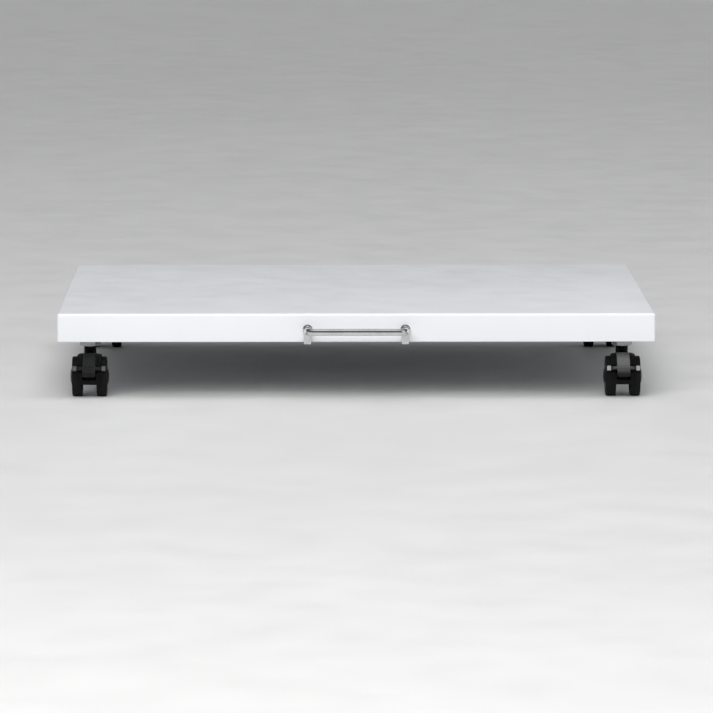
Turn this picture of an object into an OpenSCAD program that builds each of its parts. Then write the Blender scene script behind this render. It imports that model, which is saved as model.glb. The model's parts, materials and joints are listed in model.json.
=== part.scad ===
// Low rolling stand for a desktop printer: a folded steel deck on four hooded
// twin-wheel casters, with a chromed pull on its front edge.
// The origin is the centre of the deck's top face. +Z is up and the front faces -Y.

/* [Deck] */
// Width of the deck, side to side
deck_w = 570; // [540:1:600]
// Depth of the deck, front to back
deck_d = 480; // [450:1:510]
// Height of the folded edge
deck_h = 27; // [26:0.5:30]
// Thickness of the deck sheet
sheet_t = 1.2; // [1:0.1:1.5]
// Outer radius of the fold along the top edge
fold_r = 2.5; // [2:0.1:4]
// Radius of the four upright corners
corner_r = 3; // [2.5:0.1:4]
// Width of the return lip under the edge
lip_w = 12; // [11:0.5:16]

/* [Underside] */
// Width of each caster rail
rail_w = 46; // [40:1:50]
// Thickness of the rail steel
rail_t = 2; // [1.6:0.1:2.5]
// Width of the top of the stiffener's hat section
hat_w = 40; // [30:1:60]
// Height of the stiffener's hat section
hat_h = 14; // [10:0.5:18]
// Width of each flange of the stiffener
hat_flange_w = 14; // [10:1:20]

/* [Casters] */
// Height of the deck's top face above the floor
stand_h = 82; // [82:0.5:86]
// Distance from the deck's side to a caster's swivel axis
inset_x = 30; // [28:1:32]
// Distance from the deck's front or back to a swivel axis
inset_y = 46; // [46:1:60]
// Horizontal distance from the swivel axis to the axle
trail = 16; // [15.5:0.1:16.5]
// Diameter of a wheel
wheel_d = 38; // [38:0.1:38.4]
// Width of a wheel's tread
wheel_w = 9.7; // [9.5:0.1:10]
// Clear gap between the two wheels of a caster
wheel_gap = 13.6; // [13.4:0.1:14]
// Diameter of the hood's neck
neck_d = 11.8; // [11.4:0.1:12]
// Height of the neck's top above the floor
neck_top = 46.3; // [46:0.1:46.5]
// Thickness of the hood at its crown
hood_t = 2.5; // [2.3:0.1:2.6]
// Width of the hood, which leaves the outer half of each tread bare
hood_w = 23; // [22:0.5:24]

/* [Brake] */
// Width of the brake lever
lever_w = 12.5; // [12:0.1:12.6]
// Thickness of the brake lever
lever_t = 2.2; // [2:0.1:2.3]
// Length of the lever's straight toe
toe_l = 16; // [15:0.5:16]

/* [Handle] */
// Distance between the handle's two legs
handle_pitch = 93; // [80:1:110]
// Diameter of the handle rod
rod_d = 6.5; // [5:0.5:7]
// Reach of the rod's centre in front of the deck
reach = 26; // [20:1:30]
// Height of the rod's centre above the deck's bottom edge
rod_up = 12; // [10:0.1:13]
// Thickness of the handle's feet
foot_t = 2.5; // [2.4:0.1:3]

/* [Hidden] */
gap = 0.05;                        // running clearance, each side
snug = 0.02;                       // clearance of a fixed pin in its hole
eps = 0.5;                         // overshoot of a cutting shape
floor_z = -stand_h;
deck_bottom = -deck_h;
lip_top = deck_bottom + sheet_t;
deck_under = -sheet_t;

// Rails and stiffener
rail_x = deck_w / 2 - inset_x;
rail_h = deck_under - lip_top;
rail_l = deck_d - 2 * (fold_r + gap);
rail_r = 3;
hat_t = 1;
hat_play = 1;                      // between the stiffener's end and a rail
hat_l = 2 * (rail_x - hat_play) - rail_w;
mitre_slit = 0.8;

// Fasteners: M8 stems, M3 screws
stem_r = 4;
stem_hole_r = 4.3;
stem_up = 14;
nut_af = 13;
nut_h = 6.5;
washer_r = 7;
washer_t = 1.6;
washer_slit = 0.8;
stem_hex_af = 17;
pin_bottom = 24;
clip_z = 30;
clip_t = 1.4;
clip_r = 4.8;
clip_mouth = 80;
groove_r = 3.2;
screw_r = 1.5;
screw_hole_r = 1.7;
screw_head_r = 2.9;
screw_head_h = 1.6;
screw_nut_af = 5.5;
screw_nut_h = 2.4;
screw_back = 7;
screw_proud = 1;                   // thread past the nut
cross_w = 0.7;                     // cross recess: width, length, depth
cross_l = 3;
cross_h = 1;

// Casters, each in its own frame: swivel axis at x = y = 0, floor at z = 0,
// wheels towards -Y
wheel_r = wheel_d / 2;
wheel_in = wheel_gap / 2;
wheel_out = wheel_in + wheel_w;
web_play = 0.8;                    // between the web and a wheel
web_t = wheel_gap - 2 * web_play;
axle_r = 2;
axle_play = 0.3;                   // between the axle's end and the cap's seat
axle_boss_r = 6;
hood_play = 0.8;                   // between the hood and a wheel
hood_ri = wheel_r + hood_play;
hood_ro = hood_ri + hood_t;
hood_from = -16;                   // degrees above the forward level
hood_to = 165;
crown_drop = 1;
crown_r = (pow(hood_w / 2, 2) + pow(crown_drop, 2)) / (2 * crown_drop);
tread_round = 1.4;
cap_r = 10.5;
cap_out = 2;
cap_seat = 2.2;
hub_r = 5;
hub_play = 0.25;                   // between the web and a wheel's hub
neck_root = 2;                     // depth of the neck below the stem's pin
stem_play = 0.2;                   // between the neck and the stem's hexagon
stem_base = neck_top + stem_play;
web_bottom = lip_top - floor_z;    // the rail's underside above the floor

// Brake lever, with angles about the axle in degrees above the forward level
lever_from = 50;
lever_to = 85;
lever_proud = 0.4;                 // height of the tread plate above the hood
lever_play = 0.4;                  // between the lever and its slot, each side
lever_ro = hood_ro + lever_proud;
lever_rm = lever_ro - lever_t / 2;
lip_end = 3.1;
pivot_a = 78;
pivot_rad = 15.5;
pivot = pivot_rad * [cos(pivot_a), sin(pivot_a)];
pivot_pin_r = 1.5;
ear_r = 3;
ear_t = 2;
ear_from = 60;
pocket_r = 11;
pocket_top_r = 18.4;
shoe_w = 31.6;
shoe_a = 25;
shoe_half = 1.8;
shoe_ri = 21;
shoe_slot = [12, 34];
plate_slot = [-4, 88];
cheek_slot = [-16, 96];

// Handle
foot_w = 7;
foot_boss_r = 4.8;
foot_l = 12;
bend_r = 8;
face_y = -deck_d / 2;
rod_z = deck_bottom + rod_up;

// Each caster: name, side of the deck, end of the deck, braked or not
CASTERS = [
    ["front_left", -1, -1, true],
    ["front_right", 1, -1, true],
    ["rear_left", -1, 1, false],
    ["rear_right", 1, 1, false]
];
SIDES = [["left", -1], ["right", 1]];
DECK_NODES = [
    "deck_tray", "left_rail", "right_rail", "centre_stiffener", "weld_nuts", "stem_washers",
    "handle_bar", "left_handle_foot", "right_handle_foot", "handle_screws", "handle_nuts"
];
CASTER_PIECES = [
    "stem", "stem_clip", "caster_frame", "axle",
    "left_wheel", "right_wheel", "left_hub_cap", "right_hub_cap"
];
BRAKE_PIECES = ["brake_lever", "lever_pin"];

// ---------- Shapes that repeat ----------

// Rectangle with round corners, centred
module rounded_rect(w, d, r) {
    square([w - 2 * r, d], center = true);
    square([w, d - 2 * r], center = true);
    for (x = [-1, 1], y = [-1, 1])
        translate([x * (w / 2 - r), y * (d / 2 - r)]) circle(r, $fn = 32);
}

// Rectangle under y = 0 with its two top corners round
module arched_rect(w, h, r) {
    translate([-w / 2 + r, -h]) square([w - 2 * r, h]);
    translate([-w / 2, -h]) square([w, h - r]);
    for (x = [-1, 1]) translate([x * (w / 2 - r), -r]) circle(r, $fn = 32);
}

// Block hanging under z = 0 with folded top edges and round upright corners
module folded_block(w, d, h, r_fold, r_corner) {
    intersection() {
        translate([0, 0, -h]) linear_extrude(h) rounded_rect(w, d, r_corner);
        rotate([90, 0, 0]) linear_extrude(d, center = true) arched_rect(w, h, r_fold);
        rotate([90, 0, 90]) linear_extrude(w, center = true) arched_rect(d, h, r_fold);
    }
}

// Hexagonal prism by its width across flats
module hex(af, h) {
    cylinder(r = af / 2 / cos(30), h = h, $fn = 6);
}

module hole(r, z0, z1) {
    translate([0, 0, z0 - eps]) cylinder(r = r, h = z1 - z0 + 2 * eps, $fn = 48);
}

// Sector about the origin between two angles, from one radius out past another
module sector(a0, a1, r0, r1) {
    middle = r1 / cos((a1 - a0) / 2) * [cos((a0 + a1) / 2), sin((a0 + a1) / 2)];
    difference() {
        polygon([[0, 0], r1 * [cos(a0), sin(a0)], middle, r1 * [cos(a1), sin(a1)]]);
        circle(r0, $fn = 96);
    }
}

// Rectangle with round ends that runs from p to q
module bar_2d(p, q, t) {
    v = q - p;
    translate(p) rotate(atan2(v[1], v[0])) translate([0, -t / 2]) square([norm(v), t]);
    for (e = [p, q]) translate(e) circle(t / 2, $fn = 32);
}

// ---------- Where the casters stand ----------

module at_stem(c) {
    y = c[2] * (deck_d / 2 - inset_y);
    translate([c[1] * rail_x, y, floor_z]) rotate(c[2] < 0 ? 0 : 180) children();
}

// Side profile about the axle, x forward and y up, given a thickness across the caster
module across(w, at = 0) {
    translate([at, -trail, wheel_r]) rotate([90, 0, -90])
        linear_extrude(w, center = true) children();
}

// Profile turned about the axle, x as the radius and y along the axle
module turned(from = 0, to = 360) {
    translate([0, -trail, wheel_r]) rotate([0, 90, 0]) rotate(-90 - to)
        rotate_extrude(angle = to - from, $fn = 96) children();
}

// ---------- Deck ----------

module deck_tray() {
    inner_w = deck_w - 2 * sheet_t;
    inner_d = deck_d - 2 * sheet_t;
    color("whitesmoke") difference() {
        folded_block(deck_w, deck_d, deck_h, fold_r, corner_r);
        translate([0, 0, deck_under])
            folded_block(inner_w, inner_d, rail_h, fold_r - sheet_t, corner_r - sheet_t);
        translate([0, 0, deck_bottom - eps])
            linear_extrude(deck_h / 2)
                square([inner_w - 2 * lip_w, inner_d - 2 * lip_w], center = true);
        for (x = [-1, 1], y = [-1, 1])
            translate([x * inner_w / 2, y * inner_d / 2, deck_bottom - eps])
                rotate(atan2(-y, -x)) translate([sheet_t, -mitre_slit / 2, 0])
                    cube([2 * lip_w, mitre_slit, sheet_t + 2 * eps]);
        for (s = [-1, 1])
            translate([s * handle_pitch / 2, face_y + screw_back, 0])
                hole(screw_hole_r, deck_bottom, lip_top);
    }
}

// Upward-open channel that stands on the lips and carries two casters
module rail(side) {
    color("gainsboro") translate([side * rail_x, 0, 0]) difference() {
        rotate([90, 0, 0]) linear_extrude(rail_l, center = true) difference() {
            rotate(180) translate([0, -lip_top]) arched_rect(rail_w, rail_h, rail_r);
            translate([0, lip_top + rail_t]) rotate(180)
                arched_rect(rail_w - 2 * rail_t, rail_h, rail_r - rail_t);
        }
        for (y = [-1, 1])
            translate([0, y * (deck_d / 2 - inset_y), 0])
                hole(stem_hole_r, lip_top, lip_top + rail_t);
    }
}

// Hat section welded under the middle of the deck, between the rails
module centre_stiffener() {
    color("gainsboro") translate([0, 0, deck_under]) rotate([90, 0, 90])
        linear_extrude(hat_l, center = true) {
            difference() {
                translate([-hat_w / 2, -hat_h]) square([hat_w, hat_h]);
                translate([-hat_w / 2 + hat_t, -hat_h + hat_t])
                    square([hat_w - 2 * hat_t, hat_h]);
            }
            for (s = [-1, 1])
                translate([s * (hat_w + hat_flange_w) / 2, -hat_t / 2])
                    square([hat_flange_w + hat_t, hat_t], center = true);
        }
}

module weld_nut() {
    color("silver") translate([0, 0, web_bottom + rail_t]) difference() {
        hex(nut_af, nut_h);
        hole(stem_r + snug, 0, nut_h);
    }
}

// Split washer between the stem's hexagon and the rail
module stem_washer() {
    color("silver") translate([0, 0, web_bottom - washer_t]) difference() {
        cylinder(r = washer_r, h = washer_t, $fn = 48);
        hole(stem_r + 2 * gap, 0, washer_t);
        translate([-washer_slit / 2, 0, -eps])
            cube([washer_slit, 2 * washer_r, washer_t + 2 * eps]);
    }
}

// ---------- Handle ----------

module handle_bar() {
    leg_l = reach - foot_t - bend_r;
    half = handle_pitch / 2;
    color("silver") translate([0, face_y, rod_z]) {
        translate([0, -reach, 0]) rotate([0, 90, 0])
            cylinder(d = rod_d, h = handle_pitch - 2 * bend_r, center = true, $fn = 48);
        for (s = [-1, 1]) {
            translate([s * half, -foot_t, 0]) rotate([90, 0, 0])
                cylinder(d = rod_d, h = leg_l, $fn = 48);
            translate([s * (half - bend_r), -reach + bend_r, 0])
                rotate(s > 0 ? -90 : 180) rotate_extrude(angle = 90, $fn = 96)
                    translate([bend_r, 0]) circle(d = rod_d, $fn = 48);
        }
    }
}

// L-shaped foot: an upright plate on the deck's face, hooked under its lip
module handle_foot(side) {
    upright = rod_z - deck_bottom + foot_t;
    color("silver") translate([side * handle_pitch / 2, face_y, deck_bottom]) difference() {
        intersection() {
            rotate([90, 0, 0]) linear_extrude(6 * foot_l, center = true) {
                translate([-foot_w / 2, -foot_t]) square([foot_w, upright]);
                translate([0, rod_up]) circle(foot_boss_r, $fn = 48);
            }
            rotate([90, 0, 90]) linear_extrude(4 * foot_w, center = true) {
                translate([-foot_t, 0]) square([foot_t, deck_h]);
                translate([0, -foot_t]) square([foot_l, foot_t]);
                intersection() {
                    circle(foot_t, $fn = 48);
                    translate([-foot_t, -foot_t]) square(foot_t);
                }
            }
        }
        translate([0, screw_back, 0]) {
            hole(screw_hole_r, -foot_t, 0);
            translate([0, 0, -foot_t - gap])
                cylinder(r1 = screw_head_r + 3 * gap, r2 = screw_r + gap, h = screw_head_h, $fn = 48);
        }
    }
}

module handle_screw() {
    top = sheet_t + screw_nut_h + screw_proud;
    color("silver") translate([0, 0, deck_bottom]) difference() {
        union() {
            translate([0, 0, -foot_t])
                cylinder(r1 = screw_head_r, r2 = screw_r, h = screw_head_h, $fn = 48);
            translate([0, 0, -foot_t]) cylinder(r = screw_r, h = foot_t + top, $fn = 48);
        }
        for (a = [0, 90]) rotate(a)
            translate([0, 0, -foot_t]) cube([cross_w, cross_l, 2 * cross_h], center = true);
    }
}

module handle_nut() {
    color("silver") translate([0, 0, lip_top]) difference() {
        hex(screw_nut_af, screw_nut_h);
        hole(screw_r + snug, 0, screw_nut_h);
    }
}

module at_handle_screws() {
    for (s = [-1, 1])
        translate([s * handle_pitch / 2, face_y + screw_back, 0]) children();
}

// ---------- Caster ----------

// Threaded stud above a hexagon, with the swivel pin below it
module stem() {
    color("silver") difference() {
        union() {
            translate([0, 0, pin_bottom])
                cylinder(r = stem_r, h = stem_base - pin_bottom, $fn = 48);
            translate([0, 0, stem_base])
                hex(stem_hex_af, web_bottom - washer_t - stem_base);
            translate([0, 0, stem_base])
                cylinder(r = stem_r, h = web_bottom + stem_up - stem_base, $fn = 48);
        }
        translate([0, 0, clip_z - gap]) difference() {
            cylinder(r = stem_r + eps, h = clip_t + 2 * gap, $fn = 48);
            translate([0, 0, -eps]) cylinder(r = groove_r, h = clip_t + 2 * eps, $fn = 48);
        }
    }
}

// Open ring in the pin's groove that keeps the caster on its stem
module stem_clip() {
    color("dimgray") translate([0, 0, clip_z]) rotate(clip_mouth / 2 - 90)
        rotate_extrude(angle = 360 - clip_mouth, $fn = 96)
            translate([groove_r + gap, 0]) square([clip_r - groove_r - gap, clip_t]);
}

// Hood over the inner half of both treads, crowned across its width
module hood() {
    turned(hood_from, hood_to) intersection() {
        translate([hood_ri, -hood_w / 2]) square([hood_t, hood_w]);
        translate([hood_ro - crown_r, 0]) circle(crown_r, $fn = 180);
    }
}

// Plate between the wheels, from the axle's boss up to the hood
module web() {
    across(web_t) difference() {
        circle(hood_ri + hood_t / 2, $fn = 96);
        translate([-wheel_d, -2 * wheel_d - axle_boss_r]) square(2 * wheel_d);
    }
}

// Room in the hood and the web for the brake lever and its shoe
module lever_room() {
    across(lever_w + 2 * lever_play)
        sector(plate_slot[0], plate_slot[1], pocket_top_r, 2 * wheel_r);
    across(hood_w + 2 * eps)
        sector(shoe_slot[0], shoe_slot[1], hood_ri - eps, 2 * wheel_r);
    cheek = web_t / 2 - ear_t;
    for (s = [-1, 1])
        across(ear_t + eps, s * (cheek + (ear_t + eps) / 2))
            sector(cheek_slot[0], cheek_slot[1], pocket_r, hood_ri + eps);
    across(wheel_gap) translate(pivot) circle(pivot_pin_r + snug, $fn = 32);
}

module caster_frame(braked) {
    color([0.09, 0.09, 0.1]) difference() {
        union() {
            hood();
            web();
            translate([0, 0, pin_bottom - neck_root])
                cylinder(d = neck_d, h = neck_top - pin_bottom + neck_root, $fn = 64);
        }
        if (braked) lever_room();
        translate([0, 0, pin_bottom - 2 * gap])
            cylinder(r = stem_r + gap, h = neck_top - pin_bottom + eps, $fn = 48);
        translate([0, 0, clip_z - 4 * gap])
            cylinder(r = clip_r + 2 * gap, h = clip_t + 8 * gap, $fn = 48);
        across(2 * wheel_gap) circle(axle_r + snug, $fn = 32);
    }
}

module axle() {
    color("silver") across(2 * (wheel_out - cap_seat - axle_play)) circle(axle_r, $fn = 48);
}

// Half-section of a wheel: tread, dished sides and hub
module wheel_profile() {
    inner_dish = 2.5;
    outer_dish = 0.8;
    rim_t = 3;
    cap_land = cap_r + 2;
    difference() {
        union() {
            translate([0, wheel_in + tread_round])
                square([wheel_r, wheel_w - 2 * tread_round]);
            translate([0, wheel_in]) square([wheel_r - tread_round, wheel_w]);
            for (y = [wheel_in + tread_round, wheel_out - tread_round])
                translate([wheel_r - tread_round, y]) circle(tread_round, $fn = 32);
            translate([0, web_t / 2 + hub_play]) square([hub_r, wheel_w / 2]);
        }
        translate([hub_r, 0])
            square([wheel_r - rim_t - hub_r, wheel_in + inner_dish]);
        translate([cap_land, wheel_out - outer_dish])
            square([wheel_r - rim_t - cap_land, wheel_w]);
        translate([0, wheel_out - cap_seat]) square([cap_r + gap, wheel_w]);
        square([axle_r + gap, 2 * wheel_out]);
    }
}

module wheel(side) {
    color([0.07, 0.07, 0.08]) turned() mirror([0, side < 0 ? 1 : 0]) wheel_profile();
}

// Domed cap that closes the wheel's outer recess
module hub_cap(side) {
    dome_r = (pow(cap_r, 2) + pow(cap_out, 2)) / (2 * cap_out);
    color([0.12, 0.12, 0.13]) turned() mirror([0, side < 0 ? 1 : 0]) intersection() {
        translate([0, wheel_out - cap_seat + gap]) square([cap_r, cap_seat + cap_out]);
        translate([0, wheel_out + cap_out - dome_r]) circle(dome_r, $fn = 128);
    }
}

// ---------- Brake ----------

// Side view of the tread plate: an arc flush with the hood, then a straight toe and its lip
module lever_side() {
    knee = lever_rm * [cos(lever_from), sin(lever_from)]
        + toe_l * [sin(lever_from), -cos(lever_from)];
    intersection() {
        difference() {
            circle(lever_ro, $fn = 96);
            circle(lever_ro - lever_t, $fn = 96);
        }
        sector(lever_from, lever_to, pocket_r, 2 * wheel_r);
    }
    bar_2d(lever_rm * [cos(lever_from), sin(lever_from)], knee, lever_t);
    bar_2d(knee, [knee[0], lip_end], lever_t);
}

// Side view of an ear, from the plate down to the pivot
module ear_side() {
    translate(pivot) circle(ear_r, $fn = 48);
    polygon([
        pivot + [-ear_r, 0], lever_rm * [cos(lever_to), sin(lever_to)],
        lever_rm * [cos(ear_from), sin(ear_from)],
        pivot + ear_r * [cos(lever_from), -sin(lever_from)]
    ]);
}

module brake_lever() {
    ear_x = (web_t - ear_t) / 2 + 2 * gap;
    color([0.13, 0.13, 0.14]) difference() {
        union() {
            across(lever_w) lever_side();
            for (s = [-1, 1]) across(ear_t, s * ear_x) ear_side();
            across(shoe_w) rotate(shoe_a)
                translate([shoe_ri, -shoe_half])
                    square([lever_ro - shoe_ri, 2 * shoe_half]);
        }
        across(wheel_gap) translate(pivot) circle(pivot_pin_r + gap, $fn = 32);
    }
}

module lever_pin() {
    color("silver") across(web_t) translate(pivot) circle(pivot_pin_r, $fn = 32);
}

// ---------- Assembly ----------

deck_tray();
rail(-1);  // left_rail
rail(1);  // right_rail
centre_stiffener();
for (c = CASTERS) at_stem(c) weld_nut();  // weld_nuts
for (c = CASTERS) at_stem(c) stem_washer();  // stem_washers
handle_bar();
handle_foot(-1);  // left_handle_foot
handle_foot(1);  // right_handle_foot
at_handle_screws() handle_screw();  // handle_screws
at_handle_screws() handle_nut();  // handle_nuts

// A caster at the rear is turned round, so its own left and right swap
for (c = CASTERS) {
    at_stem(c) stem();
    at_stem(c) stem_clip();
    at_stem(c) caster_frame(c[3]);
    at_stem(c) axle();
    for (s = SIDES) {
        own = -s[1] * c[2];
        at_stem(c) wheel(own);
        at_stem(c) hub_cap(own);
    }
    if (c[3]) {
        at_stem(c) brake_lever();
        at_stem(c) lever_pin();
    }
}
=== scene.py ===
"""Looks of the mobile printer stand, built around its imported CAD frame.

Metres, +Z up, front towards -Y. The origin is the centre of the deck's top face.
"""

import json
import math

import bmesh
import bpy
from mathutils import Matrix, Vector


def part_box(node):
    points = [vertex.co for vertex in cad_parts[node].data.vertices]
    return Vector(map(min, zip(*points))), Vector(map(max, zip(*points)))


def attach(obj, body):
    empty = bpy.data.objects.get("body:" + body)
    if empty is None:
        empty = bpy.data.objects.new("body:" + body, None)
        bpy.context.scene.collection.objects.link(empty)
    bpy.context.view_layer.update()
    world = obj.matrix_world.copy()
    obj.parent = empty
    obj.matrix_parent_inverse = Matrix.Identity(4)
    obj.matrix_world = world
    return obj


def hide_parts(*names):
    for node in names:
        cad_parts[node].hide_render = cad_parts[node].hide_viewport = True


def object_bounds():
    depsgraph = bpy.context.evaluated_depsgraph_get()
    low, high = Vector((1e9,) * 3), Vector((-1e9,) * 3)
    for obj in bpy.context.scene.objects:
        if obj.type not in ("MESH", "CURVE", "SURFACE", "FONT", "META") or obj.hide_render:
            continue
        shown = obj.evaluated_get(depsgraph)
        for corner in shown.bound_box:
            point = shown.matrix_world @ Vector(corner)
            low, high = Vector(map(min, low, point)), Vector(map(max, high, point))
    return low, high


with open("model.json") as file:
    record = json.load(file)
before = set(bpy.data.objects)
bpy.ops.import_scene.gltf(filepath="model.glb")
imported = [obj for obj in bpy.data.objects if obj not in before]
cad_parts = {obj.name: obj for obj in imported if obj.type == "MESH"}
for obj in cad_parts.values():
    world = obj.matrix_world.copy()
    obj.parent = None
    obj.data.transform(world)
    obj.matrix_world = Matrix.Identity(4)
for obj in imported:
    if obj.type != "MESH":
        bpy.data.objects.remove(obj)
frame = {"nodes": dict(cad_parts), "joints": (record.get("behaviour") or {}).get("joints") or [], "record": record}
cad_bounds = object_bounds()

NODES = frame["nodes"]
JOINTS = {joint["name"]: joint for joint in frame["joints"]}
SLOTS = {part["node"]: part["material_slot"] for part in frame["record"]["subparts"]}
BODIES = {node: body for body, members in frame["record"]["behaviour"]["bodies"].items()
          for node in members}

MM = 0.001

# ---------- Sizes in metres and degrees, most of them the same as in the CAD ----------

# Deck and handle
SHEET = 1.2 * MM
FOLD_R = 2.5 * MM
CORNER_R = 3 * MM
LIP_FOLD_R = 0.6 * MM
LIP_W = 12 * MM
SCREW_HOLE_R = 1.7 * MM
SCREW_HEAD_R = 3.1 * MM
SCREW_CONE = 1.6 * MM
FOOT_HALF = 3.5 * MM
ROD_BEND_R = 8 * MM

# Casters: clearances
GAP = 0.05 * MM
TREAD_GAP = 0.8 * MM
WEB_GAP = 0.25 * MM
WHEEL_GAP = 0.8 * MM

# Casters: wheel, hood, neck and stem. Heights are above the floor.
WHEEL_DISH = 2.5 * MM
AXLE_R = 2 * MM
HUB_R = 5 * MM
HOOD_T = 2.5 * MM
HOOD_FROM, HOOD_TO = -16, 165
CROWN_DROP = 1 * MM
WEB_BELOW = 6 * MM
NECK_R = 5.9 * MM
NECK_FOOT = 22 * MM
BORE_FLOOR = 23.9 * MM
STEM_R = 4 * MM
CLIP_LOW, CLIP_HIGH = 29.95 * MM, 31.45 * MM
CLIP_NECK_R = 3.2 * MM
CLIP_ROOM_LOW, CLIP_ROOM_HIGH = 29.8 * MM, 31.8 * MM
CLIP_ROOM_R = 4.9 * MM

# Casters: brake lever. Angles are about the axle, from the front upwards.
LEVER_T = 2.2 * MM
LEVER_PROUD = 0.4 * MM
LEVER_HALF = 6.25 * MM
LEVER_FROM, LEVER_TO = 50, 85
LEVER_PIN_R = 1.5 * MM
TOE_L = 16 * MM
TOE_LOW = 2 * MM
EAR_R = 3 * MM
EAR_T = 2 * MM
EAR_OUT = 6.1 * MM
BAR_ANGLE = 25
BAR_HALF = 1.8 * MM
BAR_R = 21 * MM
PAD_GAP = 0.5 * MM

# ---------- Meshing, in metres and degrees ----------

TINY = 1e-9
SAME_POINT = 1e-7
MERGE_DIST = 0.01 * MM
FLAT_ANGLE = 0.5
SHARPEST_TURN = 160

# Steps in a rounded edge, and the shading angle that keeps its own steps smooth
ROUND_STEPS = 2
ROUNDED = 90 / (ROUND_STEPS + 1) - 1

# lathe() turns about the X axis, and these turn that axis up, down or to the front
UP = Matrix.Rotation(math.radians(-90), 4, "Y")
DOWN = Matrix.Rotation(math.radians(90), 4, "Y")
FORWARD = Matrix.Rotation(math.radians(-90), 4, "Z")


# ---------- Mesh helpers ----------

def new_object(name, verts, faces, matrix=None):
    """A closed mesh object in the row frame, with its faces turned outwards."""
    mesh = bpy.data.meshes.new(name)
    mesh.from_pydata([tuple(v) for v in verts], [], faces)
    bm = bmesh.new()
    bm.from_mesh(mesh)
    bmesh.ops.remove_doubles(bm, verts=bm.verts, dist=SAME_POINT)
    bmesh.ops.recalc_face_normals(bm, faces=bm.faces)
    bm.to_mesh(mesh)
    bm.free()
    if matrix is not None:
        mesh.transform(matrix)
    obj = bpy.data.objects.new(name, mesh)
    bpy.context.scene.collection.objects.link(obj)
    return obj


def bridge(rings, closed=False):
    """Quads between neighbouring rings of vertex numbers, and from the last to the first if closed."""
    count = len(rings[0])
    pairs = zip(rings, rings[1:] + rings[:1] if closed else rings[1:])
    return [(a[i], a[(i + 1) % count], b[(i + 1) % count], b[i]) for a, b in pairs for i in range(count)]


def loft(name, loops, matrix=None, closed=False):
    """Skins loops of equally many 3-D points; unless the last meets the first, it fills both ends."""
    count = len(loops[0])
    rings = [range(k * count, (k + 1) * count) for k in range(len(loops))]
    faces = bridge(rings, closed)
    if not closed:
        faces += [tuple(rings[0]), tuple(rings[-1])]
    return new_object(name, [point for loop in loops for point in loop], faces, matrix)


def bake(obj, kind, **settings):
    """Adds a modifier and applies it to the mesh."""
    modifier = obj.modifiers.new(kind.lower(), kind)
    for key, value in settings.items():
        setattr(modifier, key, value)
    graph = bpy.context.evaluated_depsgraph_get()
    mesh = bpy.data.meshes.new_from_object(obj.evaluated_get(graph))
    obj.modifiers.clear()
    obj.data = mesh


def combine(obj, tools, operation):
    """Joins the tools to obj or cuts them from it, one after another, and deletes them."""
    for tool in tools:
        bake(obj, "BOOLEAN", object=tool, operation=operation, solver="EXACT")
        bpy.data.objects.remove(tool)
        clean(obj)
    return obj


def clean(obj):
    """Merges what a cut leaves closer than a hundredth of a millimetre."""
    bm = bmesh.new()
    bm.from_mesh(obj.data)
    bmesh.ops.remove_doubles(bm, verts=bm.verts, dist=MERGE_DIST)
    bmesh.ops.dissolve_degenerate(bm, edges=bm.edges, dist=MERGE_DIST)
    bm.to_mesh(obj.data)
    bm.free()


def soften(obj, width, angle):
    """Rounds the outer edges that are sharper than angle and have room for it; flat faces stay flat."""
    bm = bmesh.new()
    bm.from_mesh(obj.data)
    bmesh.ops.dissolve_limit(bm, angle_limit=math.radians(FLAT_ANGLE), verts=bm.verts, edges=bm.edges)
    bm.edges.index_update()
    chosen = {e for e in bm.edges if e.is_manifold and e.calc_face_angle_signed() > math.radians(angle)}
    tight = chosen
    while tight:
        tight = {e for e in chosen if not has_room(e, chosen, width)}
        chosen -= tight
    bmesh.ops.bevel(bm, geom=sorted(chosen, key=lambda e: e.index), offset=width,
                    segments=ROUND_STEPS, profile=0.5, affect="EDGES", clamp_overlap=False)
    bm.to_mesh(obj.data)
    bm.free()
    return shade(obj, ROUNDED)


def has_room(edge, chosen, width):
    """Whether an edge, and each plain edge at its ends, is long enough for a rounding of this width."""
    needed = 0.0
    for vertex in edge.verts:
        along = edge.other_vert(vertex).co - vertex.co
        turn = 0.0
        for other in vertex.link_edges:
            if other is edge:
                continue
            if other in chosen:
                turn = max(turn, math.pi - along.angle(other.other_vert(vertex).co - vertex.co))
            elif other.calc_length() < 2 * width:
                return False
        needed += width * math.tan(min(turn, math.radians(SHARPEST_TURN)) / 2)
    return edge.calc_length() >= needed


def shade(obj, angle):
    """Smooth shading, with a sharp edge wherever two faces meet at more than angle."""
    obj.data.shade_smooth()
    obj.data.set_sharp_from_angle(angle=math.radians(angle))
    return obj


def painted(obj, rule):
    """Stores a 0 to 1 mask on the mesh, from each vertex's place, for the materials to read: worn tread on the
    wheels, a painted highlight on the brake levers.
    """
    layer = obj.data.attributes.get("rubbed") or obj.data.attributes.new("rubbed", "FLOAT", "POINT")
    for vertex, item in zip(obj.data.vertices, layer.data):
        item.value = max(0.0, min(1.0, rule(vertex.co)))
    return obj


# ---------- Outlines ----------

def arc(centre, radius, start, end, steps):
    """Points on an arc, in degrees, both ends included."""
    turns = [math.radians(start + (end - start) * i / steps) for i in range(steps + 1)]
    return [(centre[0] + radius * math.cos(t), centre[1] + radius * math.sin(t)) for t in turns]


def sector(start, end, inner, outer, steps=24):
    """Outline of a piece of a ring about the axle."""
    return arc((0, 0), inner, end, start, steps) + arc((0, 0), outer, start, end, steps)


def side_of(line, i):
    """Unit vector to the left of an open line at its point i."""
    along = Vector(line[min(i + 1, len(line) - 1)]) - Vector(line[max(i - 1, 0)])
    along.normalize()
    return Vector((-along.y, along.x))


def stroke(line, thickness):
    """Outline of an open line of points given a thickness."""
    sides = [side_of(line, i) * thickness / 2 for i in range(len(line))]
    left = [tuple(Vector(point) + side) for point, side in zip(line, sides)]
    right = [tuple(Vector(point) - side) for point, side in zip(line, sides)]
    return left + right[::-1]


# ---------- Basic solids ----------

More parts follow.
